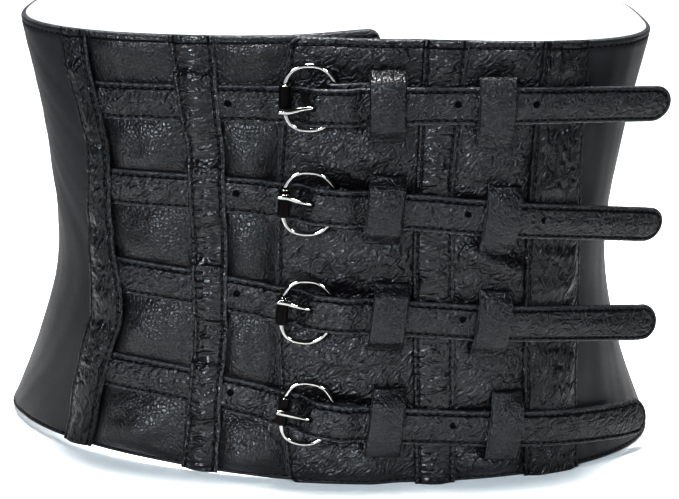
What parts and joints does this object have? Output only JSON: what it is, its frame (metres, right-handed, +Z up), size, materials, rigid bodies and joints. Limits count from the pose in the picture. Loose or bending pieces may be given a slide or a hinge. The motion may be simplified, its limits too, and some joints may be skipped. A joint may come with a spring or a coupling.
{
  "type": "waist cincher belt",
  "caption": "Wide black faux-leather waist cincher with an overlapping front closed by straps through oval ring buckles.",
  "frame": {"origin": "middle of the belt's bounding box on the level its bottom edge stands on", "axes": "+Z up along the wearer's body; the buckled front faces -Y, and the strap tips point to +X"},
  "size_m": [0.2796, 0.2183, 0.1812],
  "materials": {
    "panel_leather": "grained semi-gloss",
    "strap_leather": "grained semi-gloss",
    "side_cloth": "matte",
    "chrome": "polished chrome plate",
    "dark_metal": "polished dark plate"
  },
  "bodies": {
    "root": {"back_panel": "side_cloth", "front_left_panel": "panel_leather", "front_right_panel": "panel_leather", "outer_strip_left": "panel_leather", "inner_strip_left": "panel_leather", "inner_strip_right": "panel_leather", "outer_strip_right": "panel_leather", "strap_1": "strap_leather", "buckle_strap_1": "strap_leather", "ring_1": "chrome", "roller_1": "dark_metal", "prong_1": "chrome", "keeper_1a": "strap_leather", "keeper_1b": "strap_leather", "strap_2": "strap_leather", "buckle_strap_2": "strap_leather", "ring_2": "chrome", "roller_2": "dark_metal", "prong_2": "chrome", "keeper_2a": "strap_leather", "keeper_2b": "strap_leather", "strap_3": "strap_leather", "buckle_strap_3": "strap_leather", "ring_3": "chrome", "roller_3": "dark_metal", "prong_3": "chrome", "keeper_3a": "strap_leather", "keeper_3b": "strap_leather", "strap_4": "strap_leather", "buckle_strap_4": "strap_leather", "ring_4": "chrome", "roller_4": "dark_metal", "prong_4": "chrome", "keeper_4a": "strap_leather", "keeper_4b": "strap_leather"}
  },
  "joints": []
}
